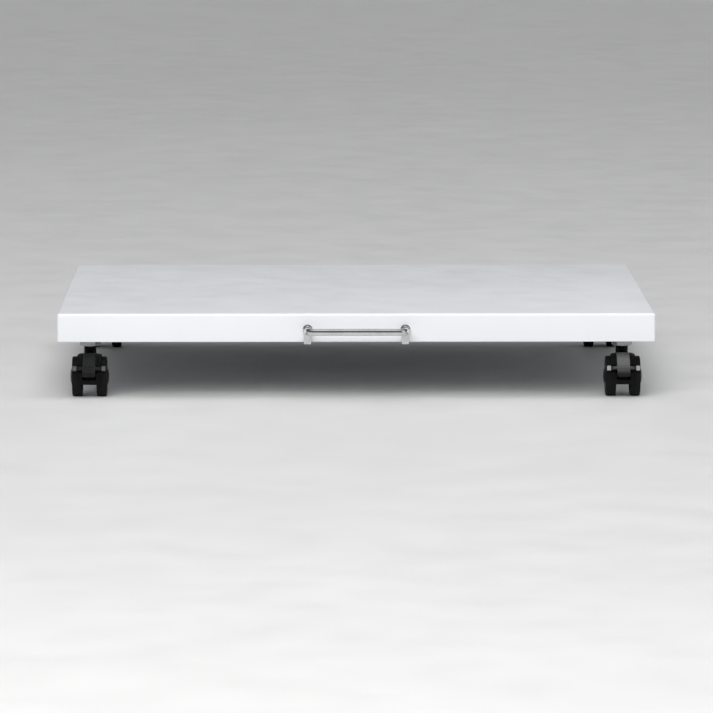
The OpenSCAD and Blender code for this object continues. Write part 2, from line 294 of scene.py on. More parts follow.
def lathe(name, profile, segments=72, matrix=None):
    """Turns (radius, along) points about the X axis: a closed outline, or one with both ends on it."""
    turns = [math.tau * i / segments for i in range(segments)]
    loops = [[(along, radius * math.cos(t), radius * math.sin(t)) for t in turns]
             for radius, along in profile]
    touches_axis = min(radius for radius, _ in profile) < TINY
    return loft(name, loops, matrix, closed=not touches_axis)


def upright_lathe(name, profile, segments=48):
    """Turns an outline of (radius, height) points about the Z axis."""
    return lathe(name, profile, segments, UP)


def cylinder(name, radius, half_length, segments, matrix):
    """A plain round bar along the X axis, centred on the origin, for cutting holes."""
    profile = [(0, -half_length), (radius, -half_length), (radius, half_length), (0, half_length)]
    return lathe(name, profile, segments, matrix)


def slab(name, outline, low, high, matrix=None, rounding=0.0):
    """A flat outline of (forward, up) points given a thickness from low to high along X.
    Rounding softens the rims of its two sides."""
    count = len(outline)
    verts = [(x, -forward, up) for x in (low, high) for forward, up in outline]
    sides = [tuple(range(count)), tuple(range(count, 2 * count))]
    obj = new_object(name, verts, sides + bridge(sides))
    if rounding:
        bm = bmesh.new()
        bm.from_mesh(obj.data)
        rims = [e for e in bm.edges
                if abs(e.verts[0].co.x - e.verts[1].co.x) < TINY
                and any(len(face.verts) > 4 for face in e.link_faces)]
        bmesh.ops.bevel(bm, geom=rims, offset=rounding, segments=ROUND_STEPS, profile=0.5, affect="EDGES")
        bm.to_mesh(obj.data)
        bm.free()
    if matrix is not None:
        obj.data.transform(matrix)
    return obj


def tube(name, line, radius, segments, matrix=None):
    """A round rod along a flat line of points in the XY plane, with closed ends."""
    up = Vector((0, 0, 1))
    turns = [math.tau * i / segments for i in range(segments)]
    loops = []
    for i, point in enumerate(line):
        side = side_of(line, i).to_3d()
        centre = Vector((point[0], point[1], 0))
        loops.append([centre + side * math.cos(t) * radius + up * math.sin(t) * radius for t in turns])
    return loft(name, loops, matrix)


def block(name, low, high, matrix=None):
    """A box between two corners."""
    corners = [(x, y, z) for x in (low[0], high[0]) for y in (low[1], high[1]) for z in (low[2], high[2])]
    faces = [(0, 1, 3, 2), (4, 5, 7, 6), (0, 1, 5, 4), (2, 3, 7, 6), (0, 2, 6, 4), (1, 3, 7, 5)]
    return new_object(name, corners, faces, matrix)


# ---------- Materials ----------

class Shader:
    """A Principled material with short calls for the nodes that the finishes share."""

    def __init__(self, name):
        self.material = bpy.data.materials.new(name)
        self.material.use_nodes = True
        self.tree = self.material.node_tree
        self.bsdf = self.tree.nodes["Principled BSDF"]
        self.place = self.tree.nodes.new("ShaderNodeTexCoord").outputs["Object"]
        self.normal = None

    def node(self, kind, **inputs):
        """A node with some of its inputs fed; an underscore in a keyword stands for a space."""
        made = self.tree.nodes.new("ShaderNode" + kind)
        for key, value in inputs.items():
            self.feed(made.inputs[key.replace("_", " ")], value)
        return made

    def feed(self, socket, value):
        """Links another node's output to a socket, or gives the socket a plain value."""
        if isinstance(value, bpy.types.NodeSocket):
            self.tree.links.new(value, socket)
        else:
            socket.default_value = value

    def stretched(self, x, y, z, turn=0.0):
        """The place on the object, stretched along its axes."""
        made = self.node("Mapping", Vector=self.place, Scale=(x, y, z), Rotation=(0, 0, turn))
        return made.outputs["Vector"]

    def noise(self, size_mm, detail=2.0, rough=0.5, place=None):
        """Noise with blotches of about this size, 0 to 1."""
        made = self.node("TexNoise", Vector=place or self.place, Scale=1000 / size_mm,
                         Detail=detail, Roughness=rough)
        return made.outputs["Fac"]

    def cells(self, size_mm):
        """Distance to the nearest of many scattered points, 0 at the points."""
        made = self.node("TexVoronoi", Vector=self.place, Scale=1000 / size_mm)
        return made.outputs["Distance"]

    def span(self, value, low, high, to_low=0.0, to_high=1.0):
        """Maps low..high to to_low..to_high, clamped."""
        made = self.node("MapRange", Value=value, From_Min=low, From_Max=high,
                         To_Min=to_low, To_Max=to_high)
        made.clamp = True
        return made.outputs["Result"]

    def math(self, operation, a, b):
        """One arithmetic step on two values."""
        made = self.tree.nodes.new("ShaderNodeMath")
        made.operation = operation
        self.feed(made.inputs[0], a)
        self.feed(made.inputs[1], b)
        return made.outputs[0]

    def mix(self, factor, a, b):
        """Colour a where the factor is 0 and colour b where it is 1."""
        made = self.tree.nodes.new("ShaderNodeMix")
        made.data_type = "RGBA"
        self.feed(made.inputs["Factor"], factor)
        self.feed(made.inputs[6], a)
        self.feed(made.inputs[7], b)
        return made.outputs[2]

    def edges(self, radius_mm):
        """1 along worn edges, 0 on flat faces."""
        made = self.node("Bevel", Radius=radius_mm * MM)
        made.samples = 4
        geometry = self.tree.nodes.new("ShaderNodeNewGeometry")
        dot = self.tree.nodes.new("ShaderNodeVectorMath")
        dot.operation = "DOT_PRODUCT"
        self.feed(dot.inputs[0], made.outputs["Normal"])
        self.feed(dot.inputs[1], geometry.outputs["Normal"])
        return self.span(dot.outputs["Value"], 0.995, 0.86)

    def upward(self):
        """1 on faces that look up, where dust settles."""
        geometry = self.tree.nodes.new("ShaderNodeNewGeometry")
        split = self.tree.nodes.new("ShaderNodeSeparateXYZ")
        self.feed(split.inputs[0], geometry.outputs["Normal"])
        return self.span(split.outputs["Z"], 0.25, 0.95)

    def rubbed(self):
        """The mask stored on the mesh, 0 where there is none: worn tread on the wheels, a painted highlight on the
        brake levers.
        """
        made = self.tree.nodes.new("ShaderNodeAttribute")
        made.attribute_name = "rubbed"
        return made.outputs["Fac"]

    def bump(self, height, depth_mm, strength):
        """Adds relief from a 0 to 1 height on top of the relief so far."""
        made = self.node("Bump", Height=height, Distance=depth_mm * MM, Strength=strength)
        if self.normal is not None:
            self.feed(made.inputs["Normal"], self.normal)
        self.normal = made.outputs["Normal"]
        self.feed(self.bsdf.inputs["Normal"], self.normal)

    def scratches(self, width_mm, turn, amount):
        """Sparse fine lines, 0 to 1."""
        lines = self.noise(width_mm, 2.0, 0.6, self.stretched(1.0, 0.02, 1.0, turn))
        patches = self.span(self.noise(70), 0.5, 0.7)
        return self.math("MULTIPLY", self.span(lines, 1.0 - amount, 1.0 - amount + 0.04), patches)

    def set(self, **inputs):
        """Feeds the Principled node and returns the finished material."""
        for key, value in inputs.items():
            self.feed(self.bsdf.inputs[key.replace("_", " ")], value)
        return self.material


def grey(value, blue=0.0):
    """A linear grey, a little blue if asked."""
    return (value, value * (1 + blue / 2), value * (1 + blue), 1.0)


def powder_coat():
    """White powder paint: fine orange peel, faint scuffs, a few specks, thinner on the edges."""
    s = Shader("powder_coat")
    cool, plain = (0.715, 0.730, 0.760, 1), (0.755, 0.765, 0.785, 1)
    speck, thin, scuffed = grey(0.55, 0.02), grey(0.66, 0.02), grey(0.6)
    worn = s.math("MULTIPLY", s.edges(0.9), s.span(s.noise(6, 3), 0.45, 0.7))
    scuffs = s.scratches(0.5, 0.4, 0.32)
    tone = s.mix(s.span(s.noise(160, 3), 0.3, 0.7), cool, plain)
    specks = s.span(s.cells(14), 0.0, 0.045, 0.35, 0.0)
    tone = s.mix(specks, tone, speck)
    tone = s.mix(s.math("MULTIPLY", worn, 0.5), tone, thin)
    tone = s.mix(s.math("MULTIPLY", scuffs, 0.18), tone, scuffed)
    rough = s.span(s.noise(45, 4, 0.6), 0.3, 0.7, 0.34, 0.46)
    s.bump(s.noise(1.9, 1.0), 0.045, 0.6)
    s.bump(s.noise(0.42, 2.0), 0.018, 0.5)
    return s.set(Base_Color=tone, Roughness=s.math("ADD", rough, s.math("MULTIPLY", scuffs, 0.12)),
                 Coat_Weight=0.12, Coat_Roughness=0.25)


def chrome():
    """Polished plating with smudges and small pits."""
    s = Shader("chrome")
    bright, smudged, pitted = grey(0.70, 0.012), grey(0.60, 0.02), grey(0.35)
    smudge = s.span(s.noise(7, 4, 0.6), 0.42, 0.72)
    tone = s.mix(smudge, bright, smudged)
    tone = s.mix(s.span(s.cells(3.2), 0.0, 0.05, 0.5, 0.0), tone, pitted)
    fine = s.noise(0.25, 2, 0.6, s.stretched(0.05, 1.0, 1.0))
    s.bump(fine, 0.004, 0.35)
    s.bump(s.noise(5, 2), 0.02, 0.12)
    return s.set(Base_Color=tone, Metallic=1.0, Roughness=s.span(smudge, 0, 1, 0.07, 0.2))


def zinc():
    """Zinc-plated steel, cloudy and lightly drawn along its length."""
    s = Shader("zinc_steel")
    bluish, yellowish = grey(0.40, 0.05), (0.36, 0.355, 0.33, 1)
    cloud = s.noise(4, 4, 0.6)
    tone = s.mix(s.span(cloud, 0.35, 0.7), bluish, yellowish)
    s.bump(s.noise(0.2, 3, 0.6, s.stretched(1.0, 1.0, 0.15)), 0.01, 0.5)
    return s.set(Base_Color=tone, Metallic=1.0, Roughness=s.span(cloud, 0.3, 0.7, 0.24, 0.42))


def spring_steel():
    """Dark hardened steel with a brownish bloom."""
    s = Shader("spring_steel")
    dark, bloom = grey(0.10), (0.16, 0.145, 0.13, 1)
    cloud = s.noise(2.5, 3, 0.6)
    s.bump(s.noise(0.15, 2), 0.006, 0.5)
    return s.set(Base_Color=s.mix(cloud, dark, bloom), Metallic=1.0,
                 Roughness=s.span(cloud, 0.3, 0.7, 0.3, 0.5))


def nylon(name, dark, light, rough, grain_mm, grain_depth, wear_and_highlight_tone=(0.009, 0.009, 0.0088, 1)):
    """Moulded black plastic: fine spark grain, paler edges, dust on what looks up.
    Where the mesh's mask is set it turns to a paler tone: worn tread on the wheels, a painted highlight on the
    brake levers."""
    s = Shader(name)
    pale_edge, dust_grey = grey(0.07), grey(0.2)
    cloud = s.noise(9, 4, 0.6)
    dust = s.math("MULTIPLY", s.upward(), s.span(s.noise(3.5, 4, 0.65), 0.4, 0.75))
    worn = s.math("MULTIPLY", s.edges(0.5), s.span(s.noise(2.2, 3), 0.35, 0.7))
    rubbed = s.math("MULTIPLY", s.rubbed(), s.span(s.noise(1.6, 4, 0.7), 0.3, 0.65, 0.65, 1.0))
    tone = s.mix(s.span(cloud, 0.3, 0.7), dark, light)
    tone = s.mix(s.math("MULTIPLY", worn, 0.3), tone, pale_edge)
    tone = s.mix(s.math("MULTIPLY", dust, 0.03), tone, dust_grey)
    # Mixes in the paler tone where the mask is set: tread wear on the wheels, a painted highlight on the brake
    # levers.
    tone = s.mix(s.math("MULTIPLY", rubbed, 0.9), tone, wear_and_highlight_tone)
    dull = s.math("ADD", s.span(cloud, 0.3, 0.7, rough, rough + 0.1), s.math("MULTIPLY", rubbed, 0.2))
    s.bump(s.noise(grain_mm, 2, 0.5), grain_depth, 0.6)
    s.bump(s.noise(6, 2), 0.05, 0.15)
    return s.set(Base_Color=tone, Roughness=dull, Specular_IOR_Level=0.09)


MATERIALS = {
    "powder_coat": powder_coat(),
    "chrome": chrome(),
    "zinc_steel": zinc(),
    "spring_steel": spring_steel(),
    "caster_nylon": nylon("caster_nylon", dark=grey(0.003), light=grey(0.0055, 0.04), rough=0.40,
                          grain_mm=0.45, grain_depth=0.03),
    "wheel_nylon": nylon("wheel_nylon", dark=grey(0.0025), light=grey(0.0045, 0.04), rough=0.36,
                         grain_mm=0.6, grain_depth=0.02),
    "cap_plastic": nylon("cap_plastic", dark=grey(0.006), light=grey(0.009, 0.04), rough=0.30,
                         grain_mm=0.4, grain_depth=0.012),
    # The lever's pale tone, where its mask is set, is a painted highlight on its pads and arched face.
    "lever_plastic": nylon("lever_plastic", dark=grey(0.009, 0.04), light=grey(0.014, 0.05), rough=0.34,
                           grain_mm=0.5, grain_depth=0.02, wear_and_highlight_tone=grey(0.36)),
}


# ---------- Pieces and nodes ----------

def give_material(obj, node):
    """Gives an object its node's material."""
    obj.data.materials.clear()
    obj.data.materials.append(MATERIALS[SLOTS[node]])


def place_piece(obj, name, node):
    """Names a piece and gives it the node's material and body."""
    obj.name = obj.data.name = name
    give_material(obj, node)
    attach(obj, BODIES[node])


def stand_for(obj, name, node):
    """Places a piece that is shown instead of its node."""
    place_piece(obj, name, node)
    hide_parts(node)


# ---------- Deck ----------

def deck_section(bottom, top):
    """(inset, height) points of the folded sheet: outside from the top, round the fold, down the edge and
    in along the lip, then back along the inside."""
    lip_inner_r = 0.1 * MM
    lip_end = SHEET + LIP_W
    fold_centre = (FOLD_R, top - FOLD_R)
    section = arc(fold_centre, FOLD_R, 90, 180, 9)
    section += arc((LIP_FOLD_R, bottom + LIP_FOLD_R), LIP_FOLD_R, 180, 270, 6)
    section += [(lip_end, bottom), (lip_end, bottom + SHEET)]
    section += arc((SHEET + lip_inner_r, bottom + SHEET + lip_inner_r), lip_inner_r, 270, 180, 3)
    section += arc(fold_centre, FOLD_R - SHEET, 180, 90, 6)
    return section


def rectangle_loop(low, high, inset, height):
    """Points round the deck's outline, with its round corners, drawn in by inset."""
    steps, smallest_r = 6, 0.3 * MM
    r = max(CORNER_R - inset, smallest_r)
    x0, y0, x1, y1 = low.x + inset + r, low.y + inset + r, high.x - inset - r, high.y - inset - r
    corners = ((x1, y1, 0), (x0, y1, 90), (x0, y0, 180), (x1, y0, 270))
    return [(px, py, height) for x, y, start in corners
            for px, py in arc((x, y), r, start, start + 90, steps)]


def lip_slits(low, high):
    """Cutters for the slit where two lips meet in each corner."""
    half_width, above = 0.4 * MM, 1.3 * SHEET
    cutters = []
    for x, turn in ((low.x + SHEET, 1), (high.x - SHEET, -1)):
        for y, way in ((low.y + SHEET, 1), (high.y - SHEET, -1)):
            inward = Matrix.Translation((x, y, low.z)) @ Matrix.Rotation(math.atan2(way, turn), 4, "Z")
            near, far = (SHEET, -half_width, -SHEET), (2 * LIP_W, half_width, above)
            cutters.append(block("slit", near, far, inward))
    return cutters


def deck():
    """The tray, folded from one sheet, with a hole in its front lip for each handle screw."""
    low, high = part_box("deck_tray")
    loops = [rectangle_loop(low, high, inset, z) for inset, z in deck_section(low.z, high.z)]
    obj = loft("deck", loops)
    cutters = lip_slits(low, high)
    screw_low, screw_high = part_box("handle_screws")
    for side in ("left", "right"):
        foot_low, foot_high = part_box(side + "_handle_foot")
        centre = ((foot_low.x + foot_high.x) / 2, (screw_low.y + screw_high.y) / 2, low.z)
        cutters.append(cylinder("hole", SCREW_HOLE_R, 2 * SHEET, 24, Matrix.Translation(centre) @ DOWN))
    combine(obj, cutters, "DIFFERENCE")
    stand_for(shade(obj, 30), "deck_sheet", "deck_tray")


def spot_welds():
    """Shallow dimples left by the welding tips where the rails stand on the lips."""
    cup_r, ridge_r, rim_r = 1.4 * MM, 2.3 * MM, 3.2 * MM
    cup, ridge, sunk = 0.12 * MM, 0.28 * MM, 0.3 * MM
    dimple = [(0, cup), (cup_r, cup), (ridge_r, ridge), (rim_r - 0.3 * MM, ridge - 0.1 * MM),
              (rim_r, 0), (rim_r, -sunk), (0, -sunk)]
    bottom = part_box("deck_tray")[0].z
    in_from_side, in_from_end = 9 * MM, LIP_W / 2 - 0.5 * MM
    for side in ("left", "right"):
        low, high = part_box(side + "_rail")
        lip_y = high.y - in_from_end
        places = (low.x + in_from_side, (low.x + high.x) / 2, high.x - in_from_side)
        for k, x in enumerate(places):
            for end, y in (("front", -lip_y), ("rear", lip_y)):
                spot = lathe("spot", dimple, 24, Matrix.Translation((x, y, bottom)) @ DOWN)
                place_piece(shade(spot, 60), f"{side}_rail_{end}_spot_weld_{k + 1}", "deck_tray")


# ---------- Handle ----------

def handle():
    """A bent rod whose ends spread into a small collar on each foot."""
    low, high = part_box("handle_bar")
    radius = (high.z - low.z) / 2
    left, right, front = low.x + radius, high.x - radius, low.y + radius
    middle = Matrix.Translation((0, 0, (low.z + high.z) / 2))
    leg_end = high.y - 4 * MM
    bend_y = front + ROD_BEND_R
    line = [(left, high.y), (left, leg_end)]
    line += arc((left + ROD_BEND_R, bend_y), ROD_BEND_R, 180, 270, 14)
    line += arc((right - ROD_BEND_R, bend_y), ROD_BEND_R, 270, 360, 14)
    line += [(right, leg_end), (right, high.y)]
    rod = tube("rod", line, radius, 40, middle)
    flare, sunk = 1.1 * MM, 0.3 * MM
    collar = [(0, -sunk), (radius + flare, -sunk)]
    collar += arc((radius + flare, flare), flare, 270, 180, 5)
    collar += [(0, flare)]
    collars = [lathe("collar", collar, 40, middle @ Matrix.Translation((x, high.y, 0)) @ FORWARD)
               for x in (left, right)]
    combine(rod, collars, "UNION")
    stand_for(shade(rod, 50), "handle_rod", "handle_bar")
    for side in ("left", "right"):
        handle_foot(side)


def handle_foot(side):
    """An upright plate with a round boss, bent back under the deck's lip, where a screw holds it."""
    node = side + "_handle_foot"
    low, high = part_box(node)
    bar_low, bar_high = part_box("handle_bar")
    deck_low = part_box("deck_tray")[0]
    middle = (low.x + high.x) / 2
    boss = (high.x - low.x) / 2
    thick = deck_low.y - low.y
    tilt = math.degrees(math.asin(FOOT_HALF / boss))
    plate = [(-FOOT_HALF, deck_low.z)]
    plate += arc((0, (bar_low.z + bar_high.z) / 2), boss, 270 - tilt, -90 + tilt, 28)
    plate += [(FOOT_HALF, deck_low.z)]
    upright = loft("plate", [[(middle + x, y, z) for x, z in plate] for y in (low.y, deck_low.y)])
    bend = (deck_low.y, deck_low.z)
    outline = [bend] + arc(bend, thick, 180, 270, 8) + [(high.y, low.z), (high.y, deck_low.z)]
    hook = slab("hook", [(-y, z) for y, z in outline], middle - FOOT_HALF, middle + FOOT_HALF)
    foot = soften(combine(upright, [hook], "UNION"), 0.4 * MM, 50)
    screw_low, screw_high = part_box("handle_screws")
    spot = Matrix.Translation((middle, (screw_low.y + screw_high.y) / 2, low.z))
    below, above = -0.5 * MM, 5 * MM
    sink = [(0, below), (SCREW_HEAD_R, below), (SCREW_HEAD_R, 0), (SCREW_HOLE_R, SCREW_CONE),
            (SCREW_HOLE_R, above), (0, above)]
    combine(foot, [lathe("sink", sink, 32, spot @ UP)], "DIFFERENCE")
    stand_for(shade(foot, ROUNDED), side + "_handle_bracket", node)


# ---------- Casters ----------

class Caster:
    """One caster's sizes from its CAD nodes, and the matrix from its own frame to the row's.
    Its own frame has the swivel axis at x = y = 0, the floor at z = 0 and the wheels towards -Y."""

    def __init__(self, name):
        self.name = name
        self.braked = name + "_brake_lever" in NODES
        roll = Vector(JOINTS[name + "_left_roll"]["pos_m"])
        swivel = Vector(JOINTS[name + "_swivel"]["pos_m"])
        wheel_low, wheel_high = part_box(name + "_right_wheel")
        cap_low, cap_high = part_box(name + "_right_hub_cap")
        frame_low, frame_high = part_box(name + "_caster_frame")
        self.floor = wheel_low.z
        self.trail = abs(roll.y - swivel.y)
        self.turned = roll.y > swivel.y
        self.matrix = (Matrix.Translation((swivel.x, swivel.y, self.floor))
                       @ Matrix.Rotation(math.pi if self.turned else 0.0, 4, "Z"))
        self.wheel_r = (wheel_high.z - wheel_low.z) / 2
        self.wheel_out = wheel_high.x - roll.x
        self.hub_in = wheel_low.x - roll.x
        self.web = self.hub_in - WEB_GAP
        self.wheel_in = self.web + WHEEL_GAP
        self.axle = Matrix.Translation((0, -self.trail, self.wheel_r))
        self.cap_out = cap_high.x - roll.x
        self.cap_r = (cap_high.z - cap_low.z) / 2
        self.neck_top = frame_high.z - self.floor
        self.hood_half = (frame_high.x - frame_low.x) / 2
        self.hood_ri = self.wheel_r + TREAD_GAP
        self.hood_ro = self.hood_ri + HOOD_T
        if self.braked:
            lever_low, lever_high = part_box(name + "_brake_lever")
            pivot = Vector(JOINTS[name + "_brake"]["pos_m"])
            self.bar_half = (lever_high.x - lever_low.x) / 2
            self.pad_from = self.hood_half + PAD_GAP
            self.pivot = Vector((abs(pivot.y - roll.y), pivot.z - roll.z))

    def own_side(self, side):
        """The side in the caster's own frame, -1 or 1, of its left or right wheel in the row's frame."""
        sign = -1 if side == "left" else 1
        return -sign if self.turned else sign


def wheel_shape(c):
    """A twin-caster wheel: round-edged tread with a mould line, dished sides with ribs, cap recess."""
    low, high, r = c.wheel_in, c.wheel_out, c.wheel_r
    bore, rim, edge, dish = AXLE_R + GAP, r - 3 * MM, 1.4 * MM, low + WHEEL_DISH
    profile = [(bore, c.hub_in), (HUB_R - 0.4 * MM, c.hub_in), (HUB_R, c.hub_in + 0.4 * MM),
               (HUB_R + 0.3 * MM, dish), (rim - 0.6 * MM, dish), (rim, low + 0.3 * MM),
               (rim + 0.3 * MM, low)]
    profile += arc((r - edge, low + edge), edge, -90, 0, 6)
    line, line_r = (low + high) / 2 - 2.1 * MM, r - 0.25 * MM
    profile += [(r, line - 0.5 * MM), (line_r, line - 0.2 * MM),
                (line_r, line + 0.2 * MM), (r, line + 0.5 * MM)]
    profile += arc((r - edge, high - edge), edge, 0, 90, 6)
    groove, sunk, seat = 0.35 * MM, 0.8 * MM, 2.2 * MM
    ring, recess = c.cap_r + 2 * MM, c.cap_r + GAP
    outside = [(rim + 0.9 * MM, 0), (rim + 0.7 * MM, groove), (rim + 0.3 * MM, groove), (rim, sunk),
               (ring + 0.3 * MM, sunk), (ring, 0.1 * MM), (ring - 0.3 * MM, 0), (recess + 0.3 * MM, 0),
               (recess, 0.3 * MM), (recess, seat), (bore, seat)]
    profile += [(radius, high - depth) for radius, depth in outside]
    obj = lathe("wheel", profile, 80)
    count, rib_half = 8, 0.6 * MM
    rib_low = (low + 0.6 * MM, -rib_half, HUB_R - 0.8 * MM)
    rib_high = (dish + MM, rib_half, rim + 0.8 * MM)
    ribs = [block("rib", rib_low, rib_high, Matrix.Rotation(math.tau * k / count, 4, "X"))
            for k in range(count)]
    combine(obj, ribs, "UNION")
    tread_from, fade = r - 1.3 * MM, 1.2 * MM
    painted(obj, lambda co: (math.hypot(co.y, co.z) - tread_from) / fade)
    return shade(obj, 35)


def hub_cap_shape(c):
    """A domed cap with a ring groove and a small centre dimple."""
    rise = c.cap_out - c.wheel_out
    dome_r = (c.cap_r ** 2 + rise ** 2) / (2 * rise)
    seat, steps = c.wheel_out - 2.1 * MM, 14
    groove_r, groove_half, groove_depth = 0.72 * c.cap_r, 0.06 * c.cap_r, 0.35 * MM
    dimple_r, dimple_depth = 0.22 * c.cap_r, 0.45 * MM
    profile = [(0, seat), (c.cap_r - 0.1 * MM, seat), (c.cap_r - 0.02 * MM, c.wheel_out - 0.5 * MM)]
    for radius in [c.cap_r * k / steps for k in range(steps, -1, -1)]:
        depth = 0.0
        if abs(radius - groove_r) < groove_half:
            depth = groove_depth
        if radius < dimple_r:
            depth = dimple_depth
        profile.append((radius, c.cap_out - dome_r + math.sqrt(dome_r ** 2 - radius ** 2) - depth))
    return shade(lathe("hub_cap", profile, 64), 50)


def hood_section(c):
    """The hood's section as (radius, across): crowned outside with a step near each rim, plain inside."""
    half, rim, step, steps = c.hood_half, 0.5 * MM, 0.3 * MM, 16
    crown_r = (half ** 2 + CROWN_DROP ** 2) / (2 * CROWN_DROP)
    edge = half - rim
    slope_top = edge - 1.4 * MM
    slope_foot = slope_top + 0.6 * MM
    crown = [(-slope_top + 2 * slope_top * k / steps, 0.0) for k in range(steps + 1)]
    lowered = [(-edge, step), (-slope_foot, step)] + crown + [(slope_foot, step), (edge, step)]
    outer = [(c.hood_ro - crown_r + math.sqrt(crown_r ** 2 - x ** 2) - drop, x) for x, drop in lowered]
    rim_r = outer[0][0] - rim
    start = arc((rim_r, -edge), rim, 270, 360, 4)[:-1]
    end = arc((rim_r, edge), rim, 0, 90, 4)[1:]
    return start + outer + end + [(c.hood_ri, half), (c.hood_ri, -half)]


def hood_shape(c):
    """The hood, swept about the axle over both wheels."""
    section = hood_section(c)
    step = 2
    loops = []
    for angle in list(range(HOOD_FROM, HOOD_TO - step, step)) + [HOOD_TO]:
        phi = math.radians(angle)
        loops.append([(x, -r * math.cos(phi), r * math.sin(phi)) for r, x in section])
    return loft("hood", loops, c.axle)


def frame_shape(c):
    """Hood, web between the wheels and neck as one moulding, with room for stem, axle and brake lever."""
    obj = hood_shape(c)
    web_r = c.hood_ri + HOOD_T / 2
    below = math.degrees(math.asin(WEB_BELOW / web_r))
    web = slab("web", arc((0, 0), web_r, -below, 180 + below, 56), -c.web, c.web, c.axle, 0.5 * MM)
    foot_round, top_round = 0.8 * MM, 0.5 * MM
    neck = [(0, NECK_FOOT), (NECK_R - foot_round, NECK_FOOT), (NECK_R, NECK_FOOT + foot_round),
            (NECK_R, c.neck_top - top_round), (NECK_R - top_round, c.neck_top), (0, c.neck_top)]
    combine(obj, [web, upright_lathe("neck", neck)], "UNION")
    bore, above = STEM_R + GAP, 60 * MM
    stem_room = [(0, BORE_FLOOR), (bore, BORE_FLOOR), (bore, CLIP_ROOM_LOW), (CLIP_ROOM_R, CLIP_ROOM_LOW),
                 (CLIP_ROOM_R, CLIP_ROOM_HIGH), (bore, CLIP_ROOM_HIGH), (bore, above), (0, above)]
    cuts = [upright_lathe("bore", stem_room), cylinder("axle_hole", AXLE_R, 9 * MM, 32, c.axle)]
    if c.braked:
        cuts += lever_room(c)
    combine(obj, cuts, "DIFFERENCE")
    return soften(obj, 0.3 * MM, 42)


def lever_room(c):
    """Cutters for the lever's slot, its cross-bar's slot and a shallow pocket on each side of the web."""
    half, through = LEVER_HALF + 0.4 * MM, c.hood_half + MM
    far, clear = 2 * c.wheel_r, 0.5 * MM
    pocket = sector(-16, 96, 11 * MM, c.hood_ri + clear)
    pocket_low, pocket_high = c.web - 2 * MM, c.web + clear
    return [slab("slot", sector(-4, 88, 18.4 * MM, far), -half, half, c.axle),
            slab("bar_slot", sector(12, 34, c.hood_ri - clear, far), -through, through, c.axle),
            slab("pocket", pocket, pocket_low, pocket_high, c.axle),
            slab("pocket", pocket, -pocket_high, -pocket_low, c.axle)]


def directions(angle):
    """Unit vectors away from the axle at this angle, and across it, rising."""
    turn = math.radians(angle)
    return Vector((math.cos(turn), math.sin(turn))), Vector((-math.sin(turn), math.cos(turn)))


def bar_section(inner, outer, half):
    """Corners of the cross-bar's section, square to the line from the axle at the bar's angle."""
    out, up = directions(BAR_ANGLE)
    corners = ((inner, -half), (outer, -half), (outer, half), (inner, half))
    return [tuple(a * out + b * up) for a, b in corners]


def lever_plate(c, middle):
    """The lever's plate: an arch over the hood at this radius, a straight toe and a turned-down end."""
    out, up = directions(LEVER_FROM)
    straight = TOE_L - 2 * MM
    knee = middle * out - TOE_L * up
    line = arc((0, 0), middle, LEVER_TO, LEVER_FROM, 12)
    line += [tuple(middle * out - k / 4 * straight * up) for k in range(1, 5)]
    bend_start = knee + MM * up + Vector((0.25, -0.1)) * MM
    line += [tuple(bend_start), (knee.x, knee.y - 0.9 * MM), (knee.x, TOE_LOW)]
    return slab("plate", stroke(line, LEVER_T), -LEVER_HALF, LEVER_HALF, c.axle, 0.7 * MM)


def grip_ribs(c, outer):
    """Four round ribs across the toe."""
    out, up = directions(LEVER_FROM)
    count, pitch, from_end, rib_r, rib_half = 4, 2.1 * MM, 2.2 * MM, 0.55 * MM, 4.9 * MM
    ribs = []
    for k in range(count):
        spot = outer * out - (TOE_L - from_end - k * pitch) * up
        section = arc(tuple(spot), rib_r, 0, 345, 14)
        ribs.append(slab("grip", section, -rib_half, rib_half, c.axle, 0.2 * MM))
    return ribs


def lever_shape(c):
    """Brake lever: arched plate with grip ribs, ears round the pivot, and a cross-bar with two pads."""
    outer = c.hood_ro + LEVER_PROUD
    middle = outer - LEVER_T / 2
    obj = lever_plate(c, middle)
    ear = arc(tuple(c.pivot), EAR_R, 180, 320, 14) + arc((0, 0), middle, 60, LEVER_TO, 8)
    parts = [slab("ear", ear, low, low + EAR_T, c.axle) for low in (-EAR_OUT, EAR_OUT - EAR_T)]
    bar_half, pad_w = c.bar_half - 0.5 * MM, c.bar_half - c.pad_from
    parts.append(slab("bar", bar_section(BAR_R + 0.35 * MM, outer, BAR_HALF), -bar_half, bar_half, c.axle))
    pad = bar_section(BAR_R, outer + 0.5 * MM, BAR_HALF + 0.5 * MM)
    parts += [slab("pad", pad, low, low + pad_w, c.axle) for low in (-c.bar_half, c.pad_from)]
    combine(obj, parts + grip_ribs(c, outer), "UNION")
    at_pivot = c.axle @ Matrix.Translation((0, -c.pivot.x, c.pivot.y))
    combine(obj, [cylinder("hole", LEVER_PIN_R + GAP, 8 * MM, 24, at_pivot)], "DIFFERENCE")
    return soften(obj, 0.25 * MM, 45)


def lever_wear_and_highlight(c):
    """Where a lever is painted paler: its pads, partly wear and partly a painted highlight, and on the front right
    caster also its arched face, where the paler tone is a painted highlight.
    """
    # The front right lever gets a stronger painted highlight on its pads and face than the front left one.
    pads_wear_and_highlight, face_highlight = (1.0, 0.5) if c.name == "front_right" else (0.3, 0.04)
    pad_fade, face_from, face_fade, face_half = 0.2 * MM, 24 * MM, 10 * MM, 6.5 * MM

    def rule(co):
        pads = min((abs(co.x) - c.pad_from) / pad_fade, 1.0) * pads_wear_and_highlight
        face = min((co.z - face_from) / face_fade, 1.0) * face_highlight
        return max(pads, face if abs(co.x) < face_half else 0.0)
    return rule


